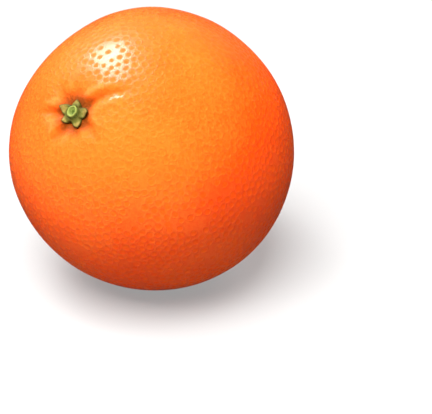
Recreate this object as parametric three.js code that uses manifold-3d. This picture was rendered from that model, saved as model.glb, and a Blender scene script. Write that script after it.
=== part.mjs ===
// A whole sweet orange lying on its side: the fruit in its peel, the five-lobed green calyx in the hollow
// at its stem end, and the short stub of stem that stays when the fruit is picked.
// Millimetres, +Z up. The origin is on the surface under the fruit, below the middle of its outline.

import * as THREE from 'three';
import { mergeVertices } from 'three/addons/utils/BufferGeometryUtils.js';
import Module from 'manifold-3d';

// Driving dimensions, in millimetres and degrees. A turn is counted round the stem axis.
const fruit = {
  width: 77, // across the widest part, square to the stem axis
  length: 79.4, // along the stem axis, before the hollows at its two ends
  stemLean: 55, // how far the stem axis leans from upright
  stemTurn: 39, // and which way: from the front, -Y, towards -X
  restDepth: 0.7, // how much is pressed flat where the fruit rests
  around: 72,
  rings: 48,
  endCrowding: 0.45, // 0 spaces the rings evenly, and nearer 1 crowds them at the two ends
};

// Hollows in the surface, each a rounded dip: its depth, and how far out it reaches.
const stemHollow = { depth: 2.3, reach: 5.6 };
const stemShoulder = { depth: 0.9, reach: 14 };
const blossomHollow = { depth: 0.8, reach: 4 };

// Creases that run out of the stem hollow over its rim.
const creases = [
  { turn: 41, depth: 1.0, reach: 17, width: 1.5 },
  { turn: 102, depth: 0.4, reach: 9, width: 1.6 },
  { turn: 141, depth: 0.5, reach: 11, width: 1.6 },
  { turn: 190, depth: 0.9, reach: 13, width: 1.5 },
  { turn: 249, depth: 0.8, reach: 12, width: 1.6 },
  { turn: 304, depth: 0.4, reach: 8, width: 1.5 },
  { turn: 341, depth: 0.7, reach: 12, width: 1.5 },
];
const creaseStart = 3; // from the stem axis to where the creases begin
const creaseFull = 6; // and to where they are deepest
const lipShare = 0.35; // the raised lips beside a crease, as a share of its depth
const lipOffset = 1.8; // and their distance from it, in widths

// The broad unevenness of a grown fruit: swells, and flats with a negative height, in the part's own frame.
const swells = [
  { towards: [-0.99, -0.06, -0.13], height: 0.25, spread: 22 },
  { towards: [-0.62, 0.33, 0.71], height: -1.0, spread: 23 },
  { towards: [-0.87, 0.21, 0.45], height: -0.45, spread: 20 },
  { towards: [0.67, 0.31, 0.67], height: -0.45, spread: 20 },
  { towards: [0.98, 0.09, 0.19], height: -0.3, spread: 20 },
  { towards: [-0.34, -0.4, -0.85], height: -0.25, spread: 20 },
];

const calyx = {
  hub: 2.5, // radius of the disc that the sepals grow from
  thickness: 1.1,
  edgeThickness: 0.5,
  gap: 0.3, // between the calyx and the peel, and between the stub and the calyx
  halfWidth: 40, // of a sepal where it leaves the hub, in degrees
  around: 60,
};
const sepals = [
  { turn: 16, length: 4.9 },
  { turn: 99, length: 3.7 },
  { turn: 172, length: 4.7 },
  { turn: 226, length: 4.0 },
  { turn: 312, length: 4.5 },
];

const stub = {
  foot: 1.65, // radius where it stands on the calyx
  top: 1.45,
  height: 1.0,
  dent: 0.3, // how far the cut end is sunk inside its rim
  rim: 0.4,
  around: 24,
};

const wasm = await Module();
wasm.setup();

const radians = THREE.MathUtils.degToRad;
const bell = (x) => Math.exp(-x * x);
const lean = new THREE.Quaternion()
  .setFromAxisAngle(new THREE.Vector3(0, 0, 1), -radians(fruit.stemTurn))
  .multiply(new THREE.Quaternion().setFromAxisAngle(new THREE.Vector3(1, 0, 0), radians(fruit.stemLean)));

// How far the stem end's hollows sink the surface at a distance from the stem axis.
function stemSink(distance) {
  return stemHollow.depth * bell(distance / stemHollow.reach) +
    stemShoulder.depth * bell(distance / stemShoulder.reach);
}

// The height of the creases and their lips at a distance from the stem axis and a turn round it.
function creaseHeight(distance, turn) {
  const begun = THREE.MathUtils.smoothstep(distance, creaseStart, creaseFull);
  let height = 0;
  for (const crease of creases) {
    const apart = turn - radians(crease.turn);
    if (Math.cos(apart) <= 0) continue;
    const aside = Math.abs(distance * Math.sin(apart)) / crease.width;
    const left = 1 - THREE.MathUtils.smoothstep(distance, creaseFull, crease.reach);
    height += crease.depth * begun * left * (lipShare * bell(aside - lipOffset) - bell(aside));
  }
  return height;
}

// The height of the swells and flats in a direction seen from the fruit's centre.
function swellHeight(direction) {
  const seen = direction.clone().applyQuaternion(lean);
  let height = 0;
  for (const swell of swells) {
    const apart = seen.angleTo(new THREE.Vector3(...swell.towards));
    height += swell.height * bell(apart / radians(swell.spread));
  }
  return height;
}

// The distance from the fruit's centre to the peel. The direction is in the stem's frame: +Z is the stem end.
function peelRadius(direction) {
  const polar = direction.angleTo(new THREE.Vector3(0, 0, 1));
  const oval = 1 / Math.hypot(Math.sin(polar) / (fruit.width / 2), Math.cos(polar) / (fruit.length / 2));
  const fromStem = oval * polar;
  const fromBlossom = oval * (Math.PI - polar);
  return oval - stemSink(fromStem) - blossomHollow.depth * bell(fromBlossom / blossomHollow.reach) +
    creaseHeight(fromStem, Math.atan2(direction.y, direction.x)) + swellHeight(direction);
}

const hollowFloor = peelRadius(new THREE.Vector3(0, 0, 1));

// Turns a profile of [radius, height] points about Z, from its lowest end on the axis to its highest.
function turned(profile, around) {
  const points = profile.map(([radius, height]) => new THREE.Vector2(radius, height));
  const geometry = new THREE.LatheGeometry(points, around).rotateX(Math.PI / 2);
  geometry.deleteAttribute('normal');
  geometry.deleteAttribute('uv');
  return mergeVertices(geometry, 1e-3);
}

// Moves each vertex of a geometry to where place(vertex) puts it.
function reshaped(geometry, place) {
  const positions = geometry.getAttribute('position');
  const vertex = new THREE.Vector3();
  for (let i = 0; i < positions.count; i++) {
    vertex.fromBufferAttribute(positions, i);
    place(vertex);
    positions.setXYZ(i, vertex.x, vertex.y, vertex.z);
  }
  return geometry;
}

function solid(geometry) {
  const merged = mergeVertices(geometry, 1e-3);
  return new wasm.Manifold(new wasm.Mesh({
    numProp: 3,
    vertProperties: merged.getAttribute('position').array,
    triVerts: new Uint32Array(merged.index.array),
  }));
}

function geometryOf(manifold) {
  const mesh = manifold.getMesh();
  const geometry = new THREE.BufferGeometry();
  geometry.setAttribute('position', new THREE.BufferAttribute(mesh.vertProperties, 3));
  geometry.setIndex(new THREE.BufferAttribute(mesh.triVerts, 1));
  geometry.computeVertexNormals();
  return geometry;
}

// The whole fruit, leaning as it lies, before it is cut flat underneath. Its centre is at the origin.
function fruitForm() {
  const profile = [];
  for (let ring = 0; ring <= fruit.rings; ring++) {
    const share = ring / fruit.rings;
    const polar = Math.PI * (share - fruit.endCrowding * Math.sin(2 * Math.PI * share) / (2 * Math.PI));
    const onAxis = ring === 0 || ring === fruit.rings;
    profile.push([onAxis ? 0 : Math.sin(polar), -Math.cos(polar)]);
  }
  const form = turned(profile, fruit.around);
  reshaped(form, (vertex) => vertex.normalize().multiplyScalar(peelRadius(vertex)));
  return form.applyQuaternion(lean);
}

// The fruit cut flat where it rests, and the place of its centre above the origin.
function restingFruit() {
  const form = fruitForm();
  form.computeBoundingBox();
  const { min, max } = form.boundingBox;
  const centre = new THREE.Vector3(-(min.x + max.x) / 2, -(min.y + max.y) / 2, -min.z - fruit.restDepth);
  form.translate(centre.x, centre.y, centre.z);
  const below = new THREE.BoxGeometry(fruit.width, fruit.width, fruit.width);
  below.deleteAttribute('normal');
  below.deleteAttribute('uv');
  below.translate(0, 0, -fruit.width / 2);
  return { geometry: geometryOf(solid(form).subtract(solid(below))), centre };
}

// How far the calyx reaches from the stem axis at a turn round it.
function calyxReach(turn) {
  let reach = calyx.hub;
  for (const sepal of sepals) {
    const off = turn - radians(sepal.turn);
    const apart = Math.abs(Math.atan2(Math.sin(off), Math.cos(off)));
    const share = Math.max(0, 1 - apart / radians(calyx.halfWidth));
    reach = Math.max(reach, calyx.hub + (sepal.length - calyx.hub) * Math.sin(share * Math.PI / 2));
  }
  return reach;
}

// The height of the peel above the middle of the stem hollow, at a place beside the stem axis.
function hollowRise(x, y) {
  const direction = new THREE.Vector3(x, y, hollowFloor).normalize();
  return peelRadius(direction) * direction.z - hollowFloor;
}

// The calyx: a lobed disc that follows the peel under it. The middle of its underside is at the origin.
function calyxGeometry() {
  const shares = [0.35, 0.6, 0.8, 0.93, 1];
  const edge = calyx.edgeThickness / calyx.thickness;
  const under = shares.map((share) => [share, 0]);
  const over = shares.map((share) => [share, 1 - (1 - edge) * share ** 2]).reverse();
  const disc = turned([[0, 0], ...under, ...over, [0, 1]], calyx.around);
  return reshaped(disc, (vertex) => {
    const reach = calyxReach(Math.atan2(vertex.y, vertex.x));
    const x = vertex.x * reach;
    const y = vertex.y * reach;
    vertex.set(x, y, vertex.z * calyx.thickness + hollowRise(x, y));
  });
}

// The stub of stem, with the middle of its foot at the origin and a dented cut end.
function stubGeometry() {
  const inside = stub.top - stub.rim;
  const round = 0.12;
  return turned([
    [0, 0],
    [stub.foot, 0],
    [stub.foot - 0.15, stub.height * 0.3],
    [stub.top, stub.height - round],
    [stub.top - round, stub.height],
    [inside + round, stub.height],
    [inside, stub.height - round],
    [inside * 0.6, stub.height - stub.dent],
    [0, stub.height - stub.dent],
  ], stub.around);
}

function mesh(name, geometry, colour, roughness) {
  const material = new THREE.MeshStandardMaterial({ color: colour, roughness, metalness: 0 });
  const piece = new THREE.Mesh(geometry, material);
  piece.name = name;
  return piece;
}

const orange = new THREE.Group();
const resting = restingFruit();
orange.add(mesh('fruit', resting.geometry, 0xfb8a26, 0.4));

// The calyx and the stub stand on the floor of the stem hollow, square to the stem axis.
const stemEnd = new THREE.Group();
stemEnd.quaternion.copy(lean);
stemEnd.position.copy(resting.centre);
orange.add(stemEnd);

const calyxMesh = mesh('calyx', calyxGeometry(), 0x7d8440, 0.7);
calyxMesh.position.z = hollowFloor + calyx.gap;
const stubMesh = mesh('stem_stub', stubGeometry(), 0xa9b856, 0.65);
stubMesh.position.z = calyxMesh.position.z + calyx.thickness + calyx.gap;
stemEnd.add(calyxMesh, stubMesh);

export default orange;
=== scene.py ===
import math

import bpy
import numpy as np
from mathutils import Matrix, Quaternion, Vector, kdtree, noise


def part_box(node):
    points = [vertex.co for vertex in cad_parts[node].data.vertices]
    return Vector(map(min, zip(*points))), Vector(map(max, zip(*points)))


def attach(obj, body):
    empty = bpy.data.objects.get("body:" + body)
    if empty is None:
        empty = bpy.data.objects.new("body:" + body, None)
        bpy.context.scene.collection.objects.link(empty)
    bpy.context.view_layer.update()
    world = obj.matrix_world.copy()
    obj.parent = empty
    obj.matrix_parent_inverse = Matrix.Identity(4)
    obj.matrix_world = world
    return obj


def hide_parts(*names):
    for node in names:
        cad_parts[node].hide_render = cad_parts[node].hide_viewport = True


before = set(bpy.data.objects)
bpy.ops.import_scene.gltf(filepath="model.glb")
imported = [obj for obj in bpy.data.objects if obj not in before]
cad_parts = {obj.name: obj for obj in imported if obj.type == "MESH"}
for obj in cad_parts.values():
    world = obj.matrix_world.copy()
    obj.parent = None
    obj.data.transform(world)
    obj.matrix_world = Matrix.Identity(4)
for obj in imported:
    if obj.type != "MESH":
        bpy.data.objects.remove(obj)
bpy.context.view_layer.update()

mm = 0.001
fruitLow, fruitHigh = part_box("fruit")
fruitCentre = (fruitLow + fruitHigh) / 2


# Small helpers for meshes

def smooth(value, start, end):
    share = np.clip((value - start) / (end - start), 0, 1)
    return share * share * (3 - 2 * share)


def bell(value):
    return np.exp(-value * value)


def unit(vectors):
    return vectors / np.linalg.norm(vectors, axis=1, keepdims=True)


def grainy(points, size, seed):  # soft noise from -1 to 1, with bumps of about this size
    shift = Vector((seed * 7.3, seed * 3.1, seed * 5.7))
    return np.array([noise.noise(Vector(point) / size + shift) for point in points])


def makePiece(name, points, faces, masks, layout=None):
    mesh = bpy.data.meshes.new(name)
    mesh.from_pydata(points.tolist(), [], faces)
    if layout is not None:
        flat = mesh.uv_layers.new(name="OFBake")
        flat.data.foreach_set("uv", layout.ravel())
    for maskName, values in masks.items():
        attribute = mesh.attributes.new(maskName, "FLOAT", "POINT")
        attribute.data.foreach_set("value", values.astype(np.float32))
    mesh.shade_smooth()
    mesh.update()
    piece = bpy.data.objects.new(name, mesh)
    bpy.context.scene.collection.objects.link(piece)
    return piece


# How the fruit grew: lengths in millimetres, turns in degrees round the stem axis

fruitShape = {
    "width": 77,
    "length": 79.4,
    "stemLean": 55,  # from upright
    "stemTurn": 39,  # from the front towards the left
    "hollowDepth": 2.3,
    "hollowReach": 5.6,
    "hollowFloor": 36.5,  # about how far the hollow's floor is from the fruit's middle
    "shoulderDepth": 0.9,
    "shoulderReach": 14,
    "blossomDepth": 0.8,
    "blossomReach": 4,
    "lumps": [(15, 0.16), (6, 0.05)],  # size across and height
    # Creases run out of the stem hollow: turn, depth, reach, width, and how far they swing round.
    "creases": [
        (46, 1.1, 19, 1.3, -9),
        (102, 0.45, 9, 1.5, 4),
        (141, 0.6, 11.5, 1.5, 0),
        (190, 1.05, 13, 1.35, 4),
        (249, 0.9, 12, 1.4, -3),
        (304, 0.45, 8.5, 1.4, 0),
        (341, 0.8, 12, 1.35, -8),
    ],
    "creaseStart": (2.6, 5.6),  # where a crease begins and is deepest, out from the stem axis
    "swingStart": 5,  # where it begins to swing round
    "fadeStart": 5.5,  # and to grow shallower
    "creaseRound": 1.6,  # higher gives a wider floor with steeper sides
    "bankHeight": 0.38,  # of the raised skin beside a crease, as a share of its depth
    "bankOffset": 1.7,  # and how far it is from the crease, in widths
    # Broad swells and flats: the direction each faces, its height and its spread in degrees.
    "swells": [
        ((-0.99, -0.06, -0.13), 0.25, 22),
        ((-0.62, 0.33, 0.71), -1.0, 23),
        ((-0.87, 0.21, 0.45), -0.45, 20),
        ((0.67, 0.31, 0.67), -0.45, 20),
        ((0.98, 0.09, 0.19), -0.3, 20),
        ((-0.34, -0.4, -0.85), -0.25, 20),
    ],
}

stemLean = Matrix.Rotation(-math.radians(fruitShape["stemTurn"]), 3, "Z") @ Matrix.Rotation(
    math.radians(fruitShape["stemLean"]), 3, "X"
)
leaning = np.array(stemLean)


def creaseRelief(fromStem, turn):
    begun = smooth(fromStem, *fruitShape["creaseStart"])
    height = np.zeros_like(fromStem)
    for at, depth, reach, width, swing in fruitShape["creases"]:
        apart = turn - np.radians(at + swing * smooth(fromStem, fruitShape["swingStart"], reach))
        beside = np.abs(fromStem * np.sin(apart)) / width
        left = 1 - smooth(fromStem, fruitShape["fadeStart"], reach)
        bank = fruitShape["bankHeight"] * bell(beside - fruitShape["bankOffset"])
        dip = depth * begun * left * (bank - np.exp(-beside ** fruitShape["creaseRound"]))
        height += np.where(np.cos(apart) > 0, dip, 0)
    return height


def peelDistance(directions):  # from the fruit's middle to the peel, with +Z at the stem end
    polar = np.arccos(np.clip(directions[:, 2], -1, 1))
    oval = 1 / np.hypot(
        np.sin(polar) / (fruitShape["width"] / 2), np.cos(polar) / (fruitShape["length"] / 2)
    )
    fromStem = oval * polar
    fromBlossom = oval * (math.pi - polar)
    distance = (
        oval
        - fruitShape["hollowDepth"] * bell(fromStem / fruitShape["hollowReach"])
        - fruitShape["shoulderDepth"] * bell(fromStem / fruitShape["shoulderReach"])
        - fruitShape["blossomDepth"] * bell(fromBlossom / fruitShape["blossomReach"])
    )
    leaned = directions @ leaning.T
    for towards, height, spread in fruitShape["swells"]:
        facing = np.array(towards) / np.linalg.norm(towards)
        apart = np.arccos(np.clip(leaned @ facing, -1, 1))
        distance += height * bell(apart / math.radians(spread))
    turn = np.arctan2(directions[:, 1], directions[:, 0])
    return distance + creaseRelief(fromStem, turn)


def fruitMiddle(directions, distances):  # where the middle sits when the form fills its box
    form = (directions * distances[:, None]) @ leaning.T * mm
    low, high = form.min(axis=0), form.max(axis=0)
    return np.array([
        (fruitLow.x + fruitHigh.x - low[0] - high[0]) / 2,
        (fruitLow.y + fruitHigh.y - low[1] - high[1]) / 2,
        fruitHigh.z - high[2],
    ])


# The peel

peelValues = {
    "cells": 127,  # squares along each side of the ball's six patches
    "gatherAtStem": 0.3,  # how much closer the mesh is round the stem end
    "gatherReach": 0.38,  # and how far round it, in radians
    "pores": 4000,
    # Pores nearer than this spacing push one another away, in so many rounds. At a spacing of 1 they
    # are as far apart as the side of a square with each one's share of the ball.
    "poreSpacing": 1.15,
    "poreRounds": 9,
    "porePush": 0.22,
    "poreRadius": (0.76, 1.06),  # smallest and largest, in mm
    "poreDepth": (0.035, 0.075),
    "poreFade": (4, 9),  # they grow to their full depth between these distances from the stem axis
    "poreLeft": 0.25,  # the share of it that they have nearer the stem
    "wrinkles": 18,  # fine radial folds in the stem hollow
    "wrinkleStart": (3, 4.5),  # where they begin and are deepest, out from the stem axis
    "wrinkleReach": (6, 11),
    "wrinkleDepth": (0.1, 0.26),
    "wrinkleWidth": (0.5, 0.8),
    "scarRing": (0.3, 1.1, 0.5),  # at the blossom end: height, radius and width
    "scarGroove": (0.35, 2.2, 0.6),  # round it: depth, radius and width
    "restSoftness": 0.25,  # of the edge of the flat that the fruit rests on
    "fullCrease": 0.8,  # the depth that takes all of a crease's painted shade
    "fullBank": 0.3,  # the height that takes all of a bank's painted highlight
    "fullFold": 0.2,  # the depth or height that is wholly duller
    "foldFade": (14, 24),  # where that fades away, out from the stem axis
    "hollowShade": 7.5,  # how far the painted shade round the calyx reaches
    "scarShade": 1.9,  # and the brown of the blossom scar
    "seed": 11,
}


def ballGrid(cells):  # a cube's six sides blown up to a ball, with shared edges
    steps = np.tan(np.linspace(-1, 1, cells + 1) * math.pi / 4)
    across, upward = np.meshgrid(steps, steps, indexing="ij")
    flatSteps = np.linspace(0, 1, cells + 1)
    flatAcross, flatUpward = np.meshgrid(flatSteps, flatSteps, indexing="ij")
    sides = [
        ((1, 0, 0), (0, 1, 0), (0, 0, 1)),
        ((-1, 0, 0), (0, 1, 0), (0, 0, -1)),
        ((0, 1, 0), (0, 0, 1), (1, 0, 0)),
        ((0, -1, 0), (0, 0, 1), (-1, 0, 0)),
        ((-1, 0, 0), (0, 0, 1), (0, 1, 0)),
        ((1, 0, 0), (0, 0, 1), (0, -1, 0)),
    ]
    corner = np.arange((cells + 1) ** 2).reshape(cells + 1, cells + 1)
    quads = np.stack(
        [corner[:-1, :-1], corner[1:, :-1], corner[1:, 1:], corner[:-1, 1:]], axis=-1
    ).reshape(-1, 4)
    margin = 0.02  # round each side in the flat layout
    points, faces, layout = [], [], []
    for number, (right, up, out) in enumerate(sides):
        side = across[..., None] * np.array(right) + upward[..., None] * np.array(up) + np.array(out)
        points.append(side.reshape(-1, 3))
        faces.append(quads + number * (cells + 1) ** 2)
        column, row = number % 3, number // 3
        spot = np.stack([
            (column + margin + (1 - 2 * margin) * flatAcross.ravel()) / 3,
            (row + margin + (1 - 2 * margin) * flatUpward.ravel()) / 2,
        ], axis=-1)
        layout.append(spot[quads.ravel()])
    points = unit(np.concatenate(points))
    faces = np.concatenate(faces)
    _, first, shared = np.unique(
        np.round(points * 1e6).astype(np.int64), axis=0, return_index=True, return_inverse=True
    )
    return points[first], shared.ravel()[faces], np.concatenate(layout)


def treeOf(points):  # for finding the nearest of these points
    tree = kdtree.KDTree(len(points))
    for number, point in enumerate(points):
        tree.insert(point, number)
    tree.balance()
    return tree


def scatteredPores(count, seed):  # evenly but not regularly spread over a ball
    chance = np.random.default_rng(seed)
    points = unit(chance.normal(size=(count, 3)))
    spacing = peelValues["poreSpacing"] * math.sqrt(4 * math.pi / count)
    for _ in range(peelValues["poreRounds"]):
        tree = treeOf(points)
        push = np.zeros_like(points)
        for number, point in enumerate(points):
            for near, other, apart in tree.find_n(point, 7):
                if other != number and apart < spacing:
                    push[number] += (point - np.array(near)) / apart * (spacing - apart)
        points = unit(points + peelValues["porePush"] * push)
    return points


def poreRelief(directions, distances, fromStem):
    chance = np.random.default_rng(peelValues["seed"])
    pores = scatteredPores(peelValues["pores"], peelValues["seed"])
    radii = chance.uniform(*peelValues["poreRadius"], len(pores))
    depths = chance.uniform(*peelValues["poreDepth"], len(pores))
    tree = treeOf(pores)
    found = [tree.find_n(direction, 3) for direction in directions]
    nearest = np.array([[other for near, other, apart in three] for three in found])
    apart = np.array([[gap for near, other, gap in three] for three in found]) * distances[:, None]
    reach = apart / radii[nearest]  # 0 at a pore's middle and 1 at its rim
    share = np.clip(1 - reach**2, 0, 1) ** 2
    pit = (share * depths[nearest]).max(axis=1)
    left = peelValues["poreLeft"]
    fade = smooth(fromStem, *peelValues["poreFade"]) * (1 - left) + left
    return pit * fade, reach.min(axis=1)


def wrinkleRelief(fromStem, turn):
    chance = np.random.default_rng(peelValues["seed"] + 1)
    begin, full = peelValues["wrinkleStart"]
    height = np.zeros_like(fromStem)
    for _ in range(peelValues["wrinkles"]):
        at = chance.uniform(0, 2 * math.pi)
        reach, depth, width = (
            chance.uniform(*peelValues[name]) for name in ("wrinkleReach", "wrinkleDepth", "wrinkleWidth")
        )
        beside = fromStem * np.sin(turn - at) / width
        here = np.where(np.cos(turn - at) > 0, bell(beside), 0)
        height -= depth * here * smooth(fromStem, begin, full) * (1 - smooth(fromStem, full, reach))
    return height


def blossomRelief(fromBlossom):
    height, radius, width = peelValues["scarRing"]
    depth, grooveRadius, grooveWidth = peelValues["scarGroove"]
    ring = height * bell((fromBlossom - radius) / width)
    return ring - depth * bell((fromBlossom - grooveRadius) / grooveWidth)


def seated(points):  # pressed flat where the fruit rests, then fitted to its box
    soft = peelValues["restSoftness"] * mm
    points[:, 2] = 0.5 * (points[:, 2] + np.sqrt(points[:, 2] ** 2 + soft**2)) - 0.5 * soft
    points[:, 2] = np.maximum(points[:, 2], 0)
    lowest, highest = points.min(axis=0), points.max(axis=0)
    share = (points - lowest) / (highest - lowest)
    return np.array(fruitLow) + share * np.array(fruitHigh - fruitLow)


def makePeel():
    directions, faces, layout = ballGrid(peelValues["cells"])
    polar = np.arccos(np.clip(directions[:, 2], -1, 1))
    turn = np.arctan2(directions[:, 1], directions[:, 0])
    polar = polar * (1 - peelValues["gatherAtStem"] * bell(polar / peelValues["gatherReach"]))
    directions = np.stack([
        np.sin(polar) * np.cos(turn), np.sin(polar) * np.sin(turn), np.cos(polar)
    ], axis=-1)
    form = peelDistance(directions)
    middle = fruitMiddle(directions, form)
    fromStem = fruitShape["width"] / 2 * polar
    fromBlossom = fruitShape["width"] / 2 * (math.pi - polar)
    wrinkle = wrinkleRelief(fromStem, turn)
    crease = creaseRelief(fromStem, turn) + wrinkle
    pit, poreReach = poreRelief(directions, form, fromStem)
    distances = form + wrinkle - pit + blossomRelief(fromBlossom)
    for number, (size, height) in enumerate(fruitShape["lumps"]):
        distances += height * grainy(directions * form[:, None], size, number + 1)
    points = seated((directions * distances[:, None]) @ leaning.T * mm + middle)
    folded = np.clip(np.abs(crease) / peelValues["fullFold"], 0, 1)
    masks = {
        "poreReach": poreReach,
        # crease, bank and stemHollow also place painted shade and a painted highlight in the peel's colour
        "crease": np.clip(-crease / peelValues["fullCrease"], 0, 1),
        "bank": np.clip(crease / peelValues["fullBank"], 0, 1),
        "folded": folded * (1 - smooth(fromStem, *peelValues["foldFade"])),
        "stemHollow": bell(fromStem / peelValues["hollowShade"]),
        "blossomScar": bell(fromBlossom / peelValues["scarShade"]),
    }
    return makePiece("peel", points, faces.tolist(), masks, layout), middle


peel, middle = makePeel()
print("peel made:", len(peel.data.polygons), "faces")


# Placing things at the stem end: millimetres from the fruit's middle, with +Z out along the stem

def hollowFloor(across, upward):  # how high the peel stands at this place beside the stem axis
    floor = np.full_like(across, fruitShape["hollowFloor"])
    directions = unit(np.stack([across, upward, floor], axis=-1))
    return peelDistance(directions) * directions[:, 2]


def atStemEnd(points):
    return points @ leaning.T * mm + middle


def ringFaces(rings, around):  # quads between rings that follow one another, closed at both ends
    faces = []
    for ring in range(rings - 1):
        for step in range(around):
            nextStep = (step + 1) % around
            faces.append((
                ring * around + step,
                ring * around + nextStep,
                (ring + 1) * around + nextStep,
                (ring + 1) * around + step,
            ))
    first, last = rings * around, rings * around + 1
    for step in range(around):
        nextStep = (step + 1) % around
        faces.append((first, nextStep, step))
        faces.append((last, (rings - 1) * around + step, (rings - 1) * around + nextStep))
    return faces


# The calyx: five short, thick sepals round a collar

calyxValues = {
    "collar": 2.35,  # radius the sepals grow from
    "collarHeight": 1.1,
    "collarEdge": (1.9, 3.0),  # where it slopes down to the sepals
    "halfWidth": 42,  # of a sepal where it leaves the collar, in degrees
    "sepalHeight": 0.72,
    "thinner": 0.35,  # how much thinner a sepal is at its tip
    "rib": 0.1,  # along a sepal's middle line
    "cup": 0.16,  # how far its edges are raised
    "notch": 0.3,  # how deep it is between two sepals
    "edgeRound": 9,  # higher gives a sepal a blunter edge
    "curlStart": 0.62,  # where a tip begins to curl up, as a share of the sepal's length
    "stubShade": 0.75,  # how dark the painted shade is round the foot of the stub
    "sepals": [  # turn, length from the stem axis, and how far the tip curls up
        (16, 4.95, 0.4),
        (99, 3.65, 0.15),
        (172, 4.85, 0.4),
        (226, 3.9, 0.2),
        (312, 4.25, 0.3),
    ],
    "lumps": [(0.9, 0.07), (0.35, 0.03)],  # size across and height
    "gap": 0.03,  # between its underside and the peel
    "around": 240,
    "rings": 30,
    "seed": 4,
}


def sepalShape(turn):  # reach, closeness to a sepal's middle line, and that sepal's curl
    reach = np.full_like(turn, calyxValues["collar"])
    closeness = np.zeros_like(turn)
    curl = np.zeros_like(turn)
    for at, length, lift in calyxValues["sepals"]:
        off = turn - math.radians(at)
        apart = np.abs(np.arctan2(np.sin(off), np.cos(off)))
        share = np.clip(1 - apart / math.radians(calyxValues["halfWidth"]), 0, 1)
        tip = 0.5 * np.sin(share * math.pi / 2) + 0.5 * share**2  # between round and pointed
        longer = calyxValues["collar"] + (length - calyxValues["collar"]) * tip
        here = longer > reach
        reach = np.where(here, longer, reach)
        curl = np.where(here, lift * tip, curl)
        closeness = np.maximum(closeness, share)
    return reach, closeness, curl


def sepalThickness(share, out, closeness):
    collar = 1 - smooth(out, *calyxValues["collarEdge"])
    notch = (1 - smooth(closeness, 0.0, 0.5)) * smooth(out, 1.7, 2.3)
    rib = calyxValues["rib"] * smooth(closeness, 0.75, 1) * smooth(share, 0.4, 0.7)
    cup = calyxValues["cup"] * (1 - closeness) * smooth(share, 0.55, 0.85)
    thick = calyxValues["sepalHeight"] * (1 - calyxValues["thinner"] * share) + rib + cup
    thick = thick - calyxValues["notch"] * notch
    return thick * (1 - collar) + calyxValues["collarHeight"] * collar


def makeCalyx():
    around, rings = calyxValues["around"], calyxValues["rings"]
    turn = np.linspace(0, 2 * math.pi, around, endpoint=False)
    reach, closeness, curl = sepalShape(turn)
    shares = np.sin(np.linspace(0.04, 1, rings) * math.pi / 2)
    rows = [(share, False) for share in shares] + [(share, True) for share in shares[-2::-1]]
    points, tips, paintedShades = [], [], []
    for share, onTop in rows:  # out under the calyx, then back over it
        out = share * reach
        across, upward = out * np.cos(turn), out * np.sin(turn)
        curled = curl * smooth(share, calyxValues["curlStart"], 1.0)
        height = hollowFloor(across, upward) + calyxValues["gap"] + curled
        if onTop:
            rounded = math.sqrt(max(0, 1 - share ** calyxValues["edgeRound"]))
            height = height + sepalThickness(share, out, closeness) * rounded
        points.append(np.stack([across, upward, height], axis=-1))
        tips.append(smooth(out, 2.2, 3.2) * smooth(closeness, 0.35, 0.85))
        # Painted shade: between the sepals, round the stub's foot and along the calyx's outline.
        beside = (1 - smooth(closeness, 0.15, 0.65)) * smooth(out, 1.4, 2.2)
        shadeRoundStub = calyxValues["stubShade"] * (1 - smooth(out, 1.75, 2.5))
        paintedShades.append(np.maximum(np.maximum(beside, shadeRoundStub), smooth(share, 0.86, 1.0)))
    floor = hollowFloor(np.zeros(1), np.zeros(1))[0] + calyxValues["gap"]
    middles = np.array([[0, 0, floor], [0, 0, floor + calyxValues["collarHeight"]]])
    points = np.concatenate(points + [middles])
    rough = sum(
        height * grainy(points, size, calyxValues["seed"] + number)
        for number, (size, height) in enumerate(calyxValues["lumps"])
    )
    topRows = np.repeat([1.0 if onTop else 0.0 for share, onTop in rows], around)
    points[: len(topRows), 2] += rough[: len(topRows)] * topRows
    masks = {
        "tip": np.concatenate(tips + [np.zeros(2)]),
        "notch": np.concatenate(paintedShades + [np.zeros(2)]),
    }
    return makePiece("sepals", atStemEnd(points), ringFaces(len(rows), around), masks)


calyx = makeCalyx()
print("calyx made:", len(calyx.data.polygons), "faces")


# The stub of stem, with a bright rim round a dented cut end

stubValues = {
    "foot": 1.65,
    "top": 1.43,
    "height": 1.25,
    "dent": 0.36,
    "rim": 0.5,
    "rounding": (0.22, 0.18),  # of the rim, across and up
    "sunk": 0.15,  # how far its foot is sunk in the calyx
    "lean": (-0.1, 0.32),  # how far the cut end sits off the stem axis
    "oval": 0.06,
    "ovalTurn": 60,
    "waves": [(5, 0.02, 1), (9, 0.015, 2)],  # round its outline: how many, height, and where they begin
    "pith": (0.15, 0.05),  # where its middle is on the cut end
    "pithLong": 0.6,  # its width for its length
    "pithHole": (0.2, 0.26),  # depth and radius
    "pithShade": 0.28,  # radius of the dark spot there
    "lumps": (0.5, 0.07),  # size across and height
    "around": 120,
    "seed": 8,
}


def stubOutline():  # pairs of radius and height, from under the foot to the middle of the dent
    foot, top, height, dent = (stubValues[name] for name in ("foot", "top", "height", "dent"))
    inner = top - stubValues["rim"]
    roundAcross, roundUp = stubValues["rounding"]
    outline = [(foot * share, 0.0) for share in (0.3, 0.6, 0.85)]
    outline += [(foot, 0.02), (foot - 0.05, 0.12), (foot - 0.14, 0.3), (foot - 0.18, 0.5)]
    outline += [(top + 0.02, height * 0.65), (top + 0.01, height * 0.8)]
    for angle in np.linspace(math.pi / 2, -math.pi / 2, 11):
        out = top - roundAcross + roundAcross * math.sin(angle)
        outline.append((out, height - roundUp + roundUp * math.cos(angle)))
    outline += [(inner - 0.02, height - 0.22), (inner - 0.12, height - dent * 0.85)]
    outline += [(inner * share, height - dent * (1 - 0.08 * share)) for share in (0.75, 0.5, 0.25)]
    return outline


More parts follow.
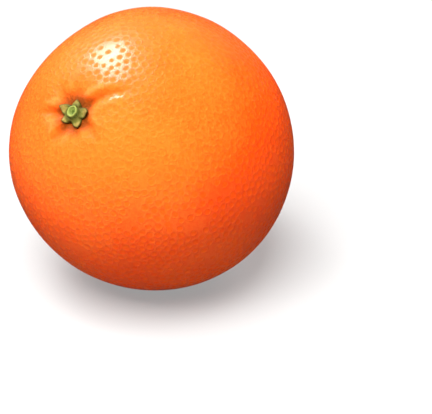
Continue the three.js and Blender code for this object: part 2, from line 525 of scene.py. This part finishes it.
def makeStub():
    turn = np.linspace(0, 2 * math.pi, stubValues["around"], endpoint=False)
    base = hollowFloor(np.zeros(1), np.zeros(1))[0] + calyxValues["collarHeight"] - stubValues["sunk"]
    height, inner = stubValues["height"], stubValues["top"] - stubValues["rim"]
    wavy = np.ones_like(turn)
    for count, high, begin in stubValues["waves"]:
        wavy += high * np.sin(count * turn + begin)
    wavy *= 1 + stubValues["oval"] * np.cos(2 * (turn - math.radians(stubValues["ovalTurn"])))
    outline = stubOutline()
    rings = [
        np.stack([
            out * wavy * np.cos(turn), out * wavy * np.sin(turn), np.full_like(turn, base + up)
        ], axis=-1)
        for out, up in outline
    ]
    ends = np.array([[0, 0, base], [0, 0, base + height - stubValues["dent"]]])
    points = np.concatenate(rings + [ends])
    out, up = np.hypot(points[:, 0], points[:, 1]), points[:, 2] - base
    pithAcross, pithUpward = stubValues["pith"]
    fromPith = np.hypot(points[:, 0] - pithAcross, (points[:, 1] - pithUpward) * stubValues["pithLong"])
    inside = (up > height * 0.5) * (out < inner)
    holeDepth, holeRadius = stubValues["pithHole"]
    points[:, 2] -= holeDepth * bell(fromPith / holeRadius) * inside
    size, high = stubValues["lumps"]
    points[:, 2] += grainy(points, size, stubValues["seed"]) * high * smooth(up, 0.3, 0.8)
    points[:, :2] += np.outer(smooth(up, 0, height), stubValues["lean"])
    masks = {
        "rim": smooth(up, height - 0.5, height - 0.12) * smooth(out, inner - 0.15, inner + 0.1),
        "pith": bell(fromPith / stubValues["pithShade"]) * inside,
    }
    return makePiece("stemStub", atStemEnd(points), ringFaces(len(outline), stubValues["around"]), masks)


stub = makeStub()
print("stem stub made:", len(stub.data.polygons), "faces")


# Materials

def addNode(tree, kind, place, values=None, **settings):  # values go to inputs, settings to the node
    node = tree.nodes.new(kind)
    node.location = place
    for name, value in settings.items():
        setattr(node, name, value)
    for name, value in (values or {}).items():
        node.inputs[name].default_value = value
    return node


def feed(tree, socket, value):  # links another node's output, or sets a plain value
    if isinstance(value, bpy.types.NodeSocket):
        tree.links.new(value, socket)
    else:
        socket.default_value = value


def blendColours(tree, place, share, first, second):
    node = addNode(tree, "ShaderNodeMix", place, data_type="RGBA")
    for number, value in ((0, share), (6, first), (7, second)):  # its share and its two colours
        feed(tree, node.inputs[number], value)
    return node.outputs[2]


def calculate(tree, place, operation, *values):
    node = addNode(tree, "ShaderNodeMath", place, operation=operation)
    for socket, value in zip(node.inputs, values):
        feed(tree, socket, value)
    return node.outputs[0]


def readMask(tree, place, name):
    return addNode(tree, "ShaderNodeAttribute", place, attribute_name=name).outputs["Fac"]


def rangeOf(tree, place, value, low, high, newLow=0.0, newHigh=1.0):
    limits = {"From Min": low, "From Max": high, "To Min": newLow, "To Max": newHigh}
    node = addNode(tree, "ShaderNodeMapRange", place, limits, interpolation_type="SMOOTHSTEP")
    tree.links.new(value, node.inputs["Value"])
    return node.outputs["Result"]


def newMaterial(name):
    material = bpy.data.materials.new(name)
    material.use_nodes = True
    tree = material.node_tree
    shader = tree.nodes["Principled BSDF"]
    shader.location = (900, 0)
    tree.nodes["Material Output"].location = (1200, 0)
    return material, tree, shader


def newGroup(name, sizes, output):  # it takes a place and some sizes, and gives one value
    group = bpy.data.node_groups.new(name, "ShaderNodeTree")
    group.interface.new_socket("Place", in_out="INPUT", socket_type="NodeSocketVector")
    for sizeName, value in sizes.items():
        socket = group.interface.new_socket(sizeName, in_out="INPUT", socket_type="NodeSocketFloat")
        socket.default_value = value
    group.interface.new_socket(output, in_out="OUTPUT", socket_type="NodeSocketFloat")
    return group, addNode(group, "NodeGroupInput", (-600, 0)), addNode(group, "NodeGroupOutput", (600, 0))


def addTexture(group, inputs, kind, place, size, values, **settings):
    texture = addNode(group, kind, place, values, **settings)
    group.links.new(inputs.outputs["Place"], texture.inputs["Vector"])
    group.links.new(inputs.outputs[size], texture.inputs["Scale"])
    return texture


# Soft patches of two sizes, for the uneven colour of anything that grew.
def makeMottleGroup():
    sizes = {"Patch Size": 40.0, "Fleck Size": 600.0, "Fleck Share": 0.4}
    group, inputs, outputs = newGroup("grownMottle", sizes, "Mask")
    patches = addTexture(
        group, inputs, "ShaderNodeTexNoise", (-300, 150), "Patch Size", {"Detail": 3.0, "Roughness": 0.55}
    )
    flecks = addTexture(
        group, inputs, "ShaderNodeTexNoise", (-300, -150), "Fleck Size", {"Detail": 2.0, "Roughness": 0.6}
    )
    mixed = addNode(group, "ShaderNodeMix", (0, 0), data_type="FLOAT")
    group.links.new(inputs.outputs["Fleck Share"], mixed.inputs[0])
    group.links.new(patches.outputs["Fac"], mixed.inputs[2])
    group.links.new(flecks.outputs["Fac"], mixed.inputs[3])
    group.links.new(rangeOf(group, (300, 0), mixed.outputs[0], 0.33, 0.67), outputs.inputs["Mask"])
    return group


# A fine uneven skin: tiny cells with softer waves between them, as a height.
def makeSkinGroup():
    group, inputs, outputs = newGroup("fineSkin", {"Cell Size": 1400.0, "Wave Size": 500.0}, "Height")
    cells = addTexture(
        group, inputs, "ShaderNodeTexVoronoi", (-300, 150), "Cell Size",
        {"Smoothness": 0.6}, feature="SMOOTH_F1",
    )
    waves = addTexture(
        group, inputs, "ShaderNodeTexNoise", (-300, -150), "Wave Size", {"Detail": 3.0, "Roughness": 0.6}
    )
    both = calculate(group, (0, 0), "MULTIPLY_ADD", waves.outputs["Fac"], 0.8, cells.outputs["Distance"])
    group.links.new(both, outputs.inputs["Height"])
    return group


mottleGroup = makeMottleGroup()
skinGroup = makeSkinGroup()


def placeGroup(tree, group, place, where, values):
    node = addNode(tree, "ShaderNodeGroup", place, values, node_tree=group)
    tree.links.new(where, node.inputs["Place"])
    return node.outputs[0]


def skinBump(tree, where, finish, under=None):  # the fine skin, over any coarser bump under it
    skin = placeGroup(tree, skinGroup, (200, -300), where, finish["skin"])
    depth = {"Strength": finish["skinStrength"], "Distance": finish["skinDepth"]}
    bump = addNode(tree, "ShaderNodeBump", (700, -300), depth)
    tree.links.new(skin, bump.inputs["Height"])
    if under:
        tree.links.new(under, bump.inputs["Normal"])
    return bump.outputs["Normal"]


peelFinish = {
    "ripe": (0.87, 0.072, 0.003, 1),
    "goldAndPaintedLight": (0.92, 0.152, 0.013, 1),
    "paintedLitSide": (-0.406, -0.65, 0.643),  # the side painted golden as if lit faces this way
    # For the painted light on the lit side, and for the far side's own gold: where gold begins and is
    # full, in metres past the middle, and how golden it gets.
    "paintedLitAndFarGold": [(0.012, 0.034, 0.8), (-0.008, -0.03, 0.56)],
    "mottle": {"Patch Size": 38.0, "Fleck Size": 1400.0, "Fleck Share": 0.5},
    "speckle": 0.75,
    "poreFloor": (0.84, 0.095, 0.002, 1),
    "poreFloorShare": 0.3,
    "creaseAndHollowShade": (0.6, 0.092, 0.006, 1),  # painted shade in the creases and round the stem hollow
    "shadeInCrease": 0.8,
    "shadeInHollow": 0.32,
    "bank": (0.95, 0.24, 0.055, 1),  # painted highlight on the raised skin beside a crease
    "bankHighlightShare": 0.36,
    "hollow": (0.16, 0.034, 0.003, 1),  # painted shade, dark brown close round the calyx
    "hollowShare": 0.95,
    "hollowEdge": (0.46, 0.9),  # where that painted shade begins and is full, on the stem hollow's mask
    "hollowInCrease": 0.07,  # how much further it runs out along a crease
    "hollowMottle": 0.1,
    "scar": (0.3, 0.13, 0.03, 1),
    "roughness": (0.4, 0.5),
    "poreRoughness": 0.2,
    "hollowRoughness": 0.3,
    "foldRoughness": 0.15,
    "shine": 0.09,
    "wax": 0.6,
    "waxAtStem": 0.1,  # the share of the wax that is left in the stem hollow
    "waxInFolds": 0.28,  # and in the folds
    "waxRoughness": 0.28,
    "waxIor": 1.35,
    # On the pore mask, which is 0 at a pore's middle and 1 at its rim: where each begins and is full.
    "poreFloorReach": (0.8, 0.1),
    "poreDullReach": (0.95, 0.5),
    "waxReach": (0.6, 1.02),
    "rimInside": (0.7, 1.05),
    "rimOutside": (1.4, 1.08),
    "rimHeight": 0.000055,
    "skin": {"Cell Size": 1500.0, "Wave Size": 700.0},
    "skinStrength": 0.35,
    "skinDepth": 0.00006,
    "glow": 0.4,
    "glowDepth": 0.0012,  # how far light spreads in the peel, in metres
    "glowColour": (1.0, 0.6, 0.3),
}


def tintAndPaintedLight(tree, where, mottle):  # painted light as gold on the lit side, gold on the far side, redder between them, speckled all over
    facing = addNode(tree, "ShaderNodeVectorMath", (-1200, 0), operation="DOT_PRODUCT")
    tree.links.new(where, facing.inputs[0])
    facing.inputs[1].default_value = peelFinish["paintedLitSide"]
    middleFacing = fruitCentre.dot(Vector(peelFinish["paintedLitSide"]))
    sides = [
        rangeOf(
            tree, (-1000, -150 * number), facing.outputs["Value"],
            middleFacing + begin, middleFacing + full, 0.0, most,
        )
        for number, (begin, full, most) in enumerate(peelFinish["paintedLitAndFarGold"])
    ]
    # Painted light: the lit side turns gold; the far side's gold is its own colour.
    paintedLit = calculate(tree, (-800, 0), "MAXIMUM", *sides)
    speckle = calculate(tree, (-1000, 200), "SUBTRACT", mottle, 0.5)
    goldAndPaintedLight = calculate(tree, (-700, 200), "MULTIPLY_ADD", speckle, peelFinish["speckle"], paintedLit)
    goldAndPaintedLight = calculate(tree, (-600, 200), "MAXIMUM", goldAndPaintedLight, 0.0)
    return blendColours(tree, (-500, 200), goldAndPaintedLight, peelFinish["ripe"], peelFinish["goldAndPaintedLight"])


def peelColour(tree, where, mottle, masks):
    colour = tintAndPaintedLight(tree, where, mottle)
    reach, floorShare = masks["poreReach"], peelFinish["poreFloorShare"]
    inPore = rangeOf(tree, (-900, -200), reach, *peelFinish["poreFloorReach"], 0.0, floorShare)
    colour = blendColours(tree, (-400, 200), inPore, colour, peelFinish["poreFloor"])

    # Painted shade: the creases and the stem hollow are darkened as if in shadow.
    creaseAndHollowShade = calculate(tree, (-1000, -500), "MULTIPLY", masks["crease"], peelFinish["shadeInCrease"])
    inHollow = peelFinish["shadeInHollow"]
    creaseAndHollowShade = calculate(tree, (-900, -450), "MULTIPLY_ADD", masks["stemHollow"], inHollow, creaseAndHollowShade)
    creaseAndHollowShade = calculate(tree, (-800, -450), "MINIMUM", creaseAndHollowShade, 1.0)
    colour = blendColours(tree, (-200, 200), creaseAndHollowShade, colour, peelFinish["creaseAndHollowShade"])

    # Painted highlight: the raised skin beside each crease is paler, as if lit.
    paintedHighlight = rangeOf(tree, (-500, -1050), masks["bank"], 0.2, 1.0, 0.0, peelFinish["bankHighlightShare"])
    colour = blendColours(tree, (-150, 200), paintedHighlight, colour, peelFinish["bank"])

    # Painted shade: dark brown close round the calyx, running a little way out along the creases.
    further = peelFinish["hollowInCrease"]
    shade = calculate(tree, (-500, -500), "MULTIPLY_ADD", masks["crease"], further, masks["stemHollow"])
    shade = calculate(tree, (-400, -500), "MULTIPLY_ADD", mottle, peelFinish["hollowMottle"], shade)
    shade = rangeOf(tree, (-300, -500), shade, *peelFinish["hollowEdge"], 0.0, peelFinish["hollowShare"])
    colour = blendColours(tree, (-100, 200), shade, colour, peelFinish["hollow"])

    atScar = rangeOf(tree, (-300, -650), masks["blossomScar"], 0.25, 0.8)
    return blendColours(tree, (0, 200), atScar, colour, peelFinish["scar"])


def peelRoughness(tree, mottle, masks):
    rough = rangeOf(tree, (200, 0), mottle, 0.0, 1.0, *peelFinish["roughness"])
    reach, inPores = masks["poreReach"], peelFinish["poreRoughness"]
    duller = [
        rangeOf(tree, (200, -100), reach, *peelFinish["poreDullReach"], 0.0, inPores),
        rangeOf(tree, (200, -200), masks["stemHollow"], 0.12, 0.45, 0.0, peelFinish["hollowRoughness"]),
        rangeOf(tree, (200, -300), masks["folded"], 0.1, 0.9, 0.0, peelFinish["foldRoughness"]),
    ]
    dull = calculate(tree, (300, -100), "MAXIMUM", duller[0], duller[1])
    dull = calculate(tree, (400, -100), "MAXIMUM", dull, duller[2])
    return calculate(tree, (500, 0), "ADD", rough, dull)


def peelWax(tree, masks):  # on the ridges between the pores, and less in the folds round the stem
    waxed = rangeOf(tree, (400, -200), masks["poreReach"], *peelFinish["waxReach"], 0.0, peelFinish["wax"])
    away = rangeOf(tree, (400, -300), masks["stemHollow"], 0.5, 0.1, peelFinish["waxAtStem"], 1.0)
    waxed = calculate(tree, (600, -200), "MULTIPLY", waxed, away)
    unfolded = rangeOf(tree, (400, -400), masks["folded"], 0.1, 0.9, 1.0, peelFinish["waxInFolds"])
    return calculate(tree, (700, -200), "MULTIPLY", waxed, unfolded)


def peelBump(tree, where, masks):  # a raised rim round each pore, and the fine skin over it
    outside = rangeOf(tree, (200, -500), masks["poreReach"], *peelFinish["rimOutside"])
    inside = rangeOf(tree, (200, -700), masks["poreReach"], *peelFinish["rimInside"])
    rim = calculate(tree, (400, -500), "MULTIPLY", outside, inside)
    height = {"Strength": 1.0, "Distance": peelFinish["rimHeight"]}
    rimBump = addNode(tree, "ShaderNodeBump", (600, -500), height)
    tree.links.new(rim, rimBump.inputs["Height"])
    return skinBump(tree, where, peelFinish, rimBump.outputs["Normal"])


def makePeelMaterial():
    material, tree, shader = newMaterial("orangePeel")
    where = addNode(tree, "ShaderNodeTexCoord", (-1500, 0)).outputs["Object"]
    mottle = placeGroup(tree, mottleGroup, (-1200, 300), where, peelFinish["mottle"])
    names = ("poreReach", "crease", "stemHollow", "blossomScar", "folded", "bank")
    masks = {
        name: readMask(tree, (-1200, -300 - 150 * number), name) for number, name in enumerate(names)
    }
    tree.links.new(peelColour(tree, where, mottle, masks), shader.inputs["Base Color"])
    tree.links.new(peelRoughness(tree, mottle, masks), shader.inputs["Roughness"])
    tree.links.new(peelWax(tree, masks), shader.inputs["Coat Weight"])
    tree.links.new(peelBump(tree, where, masks), shader.inputs["Normal"])
    shader.inputs["Subsurface Weight"].default_value = peelFinish["glow"]
    shader.inputs["Subsurface Radius"].default_value = peelFinish["glowColour"]
    shader.inputs["Subsurface Scale"].default_value = peelFinish["glowDepth"]
    shader.inputs["Specular IOR Level"].default_value = peelFinish["shine"]
    shader.inputs["Coat Roughness"].default_value = peelFinish["waxRoughness"]
    shader.inputs["Coat IOR"].default_value = peelFinish["waxIor"]
    return material


calyxFinish = {
    "leaf": (0.082, 0.085, 0.011, 1),
    "pale": (0.135, 0.128, 0.026, 1),
    "dry": (0.3, 0.205, 0.048, 1),
    "dryShare": (0.55, 1.0),  # at a tip, least and most
    # painted shade between the sepals, round the stub's foot and along the outline
    "shade": (0.05, 0.037, 0.005, 1),
    "mottle": {"Patch Size": 500.0, "Fleck Size": 2600.0, "Fleck Share": 0.5},
    "roughness": (0.5, 0.75),
    "shine": 0.08,
    "skin": {"Cell Size": 3200.0, "Wave Size": 1500.0},
    "skinStrength": 0.5,
    "skinDepth": 0.00008,
}


def makeCalyxMaterial():
    material, tree, shader = newMaterial("greenCalyx")
    where = addNode(tree, "ShaderNodeTexCoord", (-1500, 0)).outputs["Object"]
    mottle = placeGroup(tree, mottleGroup, (-1200, 300), where, calyxFinish["mottle"])
    colour = blendColours(tree, (-600, 200), mottle, calyxFinish["leaf"], calyxFinish["pale"])
    unevenly = rangeOf(tree, (-1000, -100), mottle, 0.0, 1.0, *calyxFinish["dryShare"])
    dried = calculate(tree, (-800, -200), "MULTIPLY", readMask(tree, (-1200, -300), "tip"), unevenly)
    colour = blendColours(tree, (-400, 200), dried, colour, calyxFinish["dry"])
    # Painted shade from the notch mask: between the sepals and round the stub.
    notch = readMask(tree, (-1200, -450), "notch")
    colour = blendColours(tree, (-200, 200), notch, colour, calyxFinish["shade"])
    rough = rangeOf(tree, (200, 0), mottle, 0.0, 1.0, *calyxFinish["roughness"])
    tree.links.new(colour, shader.inputs["Base Color"])
    tree.links.new(rough, shader.inputs["Roughness"])
    tree.links.new(skinBump(tree, where, calyxFinish), shader.inputs["Normal"])
    shader.inputs["Specular IOR Level"].default_value = calyxFinish["shine"]
    return material


stubFinish = {
    "wood": (0.17, 0.22, 0.042, 1),
    "woodDark": (0.07, 0.085, 0.015, 1),
    "rim": (0.235, 0.27, 0.06, 1),
    "pith": (0.035, 0.06, 0.006, 1),
    "mottle": {"Patch Size": 700.0, "Fleck Size": 3200.0, "Fleck Share": 0.5},
    "roughness": (0.45, 0.7),
    "shine": 0.07,
    "skin": {"Cell Size": 4200.0, "Wave Size": 1800.0},
    "skinStrength": 0.5,
    "skinDepth": 0.00006,
}


def makeStubMaterial():
    material, tree, shader = newMaterial("cutStem")
    where = addNode(tree, "ShaderNodeTexCoord", (-1500, 0)).outputs["Object"]
    mottle = placeGroup(tree, mottleGroup, (-1200, 300), where, stubFinish["mottle"])
    colour = blendColours(tree, (-600, 200), mottle, stubFinish["woodDark"], stubFinish["wood"])
    for place, mask in ((-400, "rim"), (-200, "pith")):
        share = readMask(tree, (-1200, place), mask)
        colour = blendColours(tree, (place, 200), share, colour, stubFinish[mask])
    rough = rangeOf(tree, (200, 0), mottle, 0.0, 1.0, *stubFinish["roughness"])
    tree.links.new(colour, shader.inputs["Base Color"])
    tree.links.new(rough, shader.inputs["Roughness"])
    tree.links.new(skinBump(tree, where, stubFinish), shader.inputs["Normal"])
    shader.inputs["Specular IOR Level"].default_value = stubFinish["shine"]
    return material


for piece, material, node, slot in (
    (peel, makePeelMaterial(), "fruit", "peel"),
    (calyx, makeCalyxMaterial(), "calyx", "calyx"),
    (stub, makeStubMaterial(), "stem_stub", "stem"),
):
    piece.data.materials.append(material)
    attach(piece, "root")
    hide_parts(node)
print("materials made and pieces joined to the frame")


# Floor, light and camera

studio = {
    "floorColour": (0.3, 0.3, 0.297, 1),
    "floorBounce": (0.3, 0.285, 0.265, 1),  # what the fruit gets back from the floor
    "floorGlow": (0.32, 0.95),  # keeps the shadow pale; the second value is far from the fruit
    "glowReach": (0.15, 0.9),
    "floorRoughness": 0.9,
    "floorHalf": 6.0,
    "worldColour": (1.0, 1.0, 1.0, 1),
    "worldLight": 0.05,  # how strongly the surroundings light the fruit
    "worldShown": 0.95,  # and how bright they look behind it
    "mainFrom": (-0.172, -0.386, 0.906),
    "mainDistance": 1.2,
    "mainSize": (0.9, 0.9),
    "mainPower": 47,
    "glintFrom": (-0.409, 0.225, 0.884),
    "glintDistance": 0.828,
    "glintSize": (0.46, 0.28),
    "glintSpin": 29,
    "glintPower": 20,
    "backFrom": (0.33, 0.92, 0.2),
    "backDistance": 1.3,
    "backSize": (1.2, 1.2),
    "backPower": 16,
}


def makeFloorMaterial():
    material, tree, shader = newMaterial("paleFloor")
    seen = addNode(tree, "ShaderNodeLightPath", (-300, 0)).outputs["Is Camera Ray"]
    colour = blendColours(tree, (0, 0), seen, studio["floorBounce"], studio["floorColour"])
    tree.links.new(colour, shader.inputs["Base Color"])
    place = addNode(tree, "ShaderNodeTexCoord", (-900, -300)).outputs["Object"]
    away = addNode(tree, "ShaderNodeVectorMath", (-600, -300), operation="LENGTH")
    tree.links.new(place, away.inputs[0])
    glow = rangeOf(tree, (-300, -300), away.outputs["Value"], *studio["glowReach"], *studio["floorGlow"])
    glow = calculate(tree, (0, -300), "MULTIPLY", seen, glow)
    tree.links.new(glow, shader.inputs["Emission Strength"])
    shader.inputs["Roughness"].default_value = studio["floorRoughness"]
    return material


def makeFloor():
    half = studio["floorHalf"]
    corners = [(-half, -half, 0), (half, -half, 0), (half, half, 0), (-half, half, 0)]
    mesh = bpy.data.meshes.new("floor")
    mesh.from_pydata(corners, [], [(0, 1, 2, 3)])
    mesh.materials.append(makeFloorMaterial())
    floor = bpy.data.objects.new("floor", mesh)
    bpy.context.scene.collection.objects.link(floor)
    floor.visible_glossy = False  # so the peel doesn't mirror it
    return floor


floor = makeFloor()


def makeWorld():
    world = bpy.data.worlds.new("paleStudio")
    world.use_nodes = True
    tree = world.node_tree
    lit = tree.nodes["Background"]
    shown = addNode(tree, "ShaderNodeBackground", (0, -200))
    for backdrop, strength in ((lit, "worldLight"), (shown, "worldShown")):
        backdrop.inputs["Color"].default_value = studio["worldColour"]
        backdrop.inputs["Strength"].default_value = studio[strength]
    rays = addNode(tree, "ShaderNodeLightPath", (0, 300))
    either = addNode(tree, "ShaderNodeMixShader", (200, 0))
    tree.links.new(rays.outputs["Is Camera Ray"], either.inputs[0])
    tree.links.new(lit.outputs[0], either.inputs[1])
    tree.links.new(shown.outputs[0], either.inputs[2])
    tree.links.new(either.outputs[0], tree.nodes["World Output"].inputs["Surface"])
    return world


bpy.context.scene.world = makeWorld()
bpy.context.scene.view_settings.view_transform = "Standard"


def addSoftbox(name):  # reads its values from the studio's, and faces the fruit
    light = bpy.data.lights.new(name + "Softbox", "AREA")
    light.shape, light.energy = "RECTANGLE", studio[name + "Power"]
    light.size, light.size_y = studio[name + "Size"]
    lamp = bpy.data.objects.new(name + "Softbox", light)
    bpy.context.scene.collection.objects.link(lamp)
    direction = Vector(studio[name + "From"]).normalized()
    lamp.location = fruitCentre + direction * studio[name + "Distance"]
    spin = Quaternion((0, 0, 1), math.radians(studio.get(name + "Spin", 0)))
    lamp.rotation_euler = (direction.to_track_quat("Z", "Y") @ spin).to_euler()
    return lamp


main, back, glint = addSoftbox("main"), addSoftbox("back"), addSoftbox("glint")
main.visible_glossy = back.visible_glossy = False  # they light the fruit without a glare of their own
glint.visible_diffuse = glint.visible_transmission = False  # this one only makes the gloss on the peel

cameraValues = {
    "elevation": 25,
    "distance": 0.3295,
    "lens": 100,
    "sensor": 36,
    "aimRight": 3.33,  # degrees the camera looks past the fruit, to the right
    "aimBelow": 2.83,  # and below it
    "nearest": 0.01,
    "furthest": 50,
}


def makeCamera():
    camera = bpy.data.objects.new("camera", bpy.data.cameras.new("camera"))
    bpy.context.scene.collection.objects.link(camera)
    rise = math.radians(cameraValues["elevation"])
    camera.location = fruitCentre + Vector((0, -math.cos(rise), math.sin(rise))) * cameraValues["distance"]
    camera.rotation_euler = (
        math.radians(90 - cameraValues["elevation"] - cameraValues["aimBelow"]),
        0,
        -math.radians(cameraValues["aimRight"]),
    )
    camera.data.lens = cameraValues["lens"]
    camera.data.sensor_width = cameraValues["sensor"]
    camera.data.clip_start, camera.data.clip_end = cameraValues["nearest"], cameraValues["furthest"]
    return camera


camera = makeCamera()
bpy.context.scene.camera = camera
print("floor, light and camera ready")
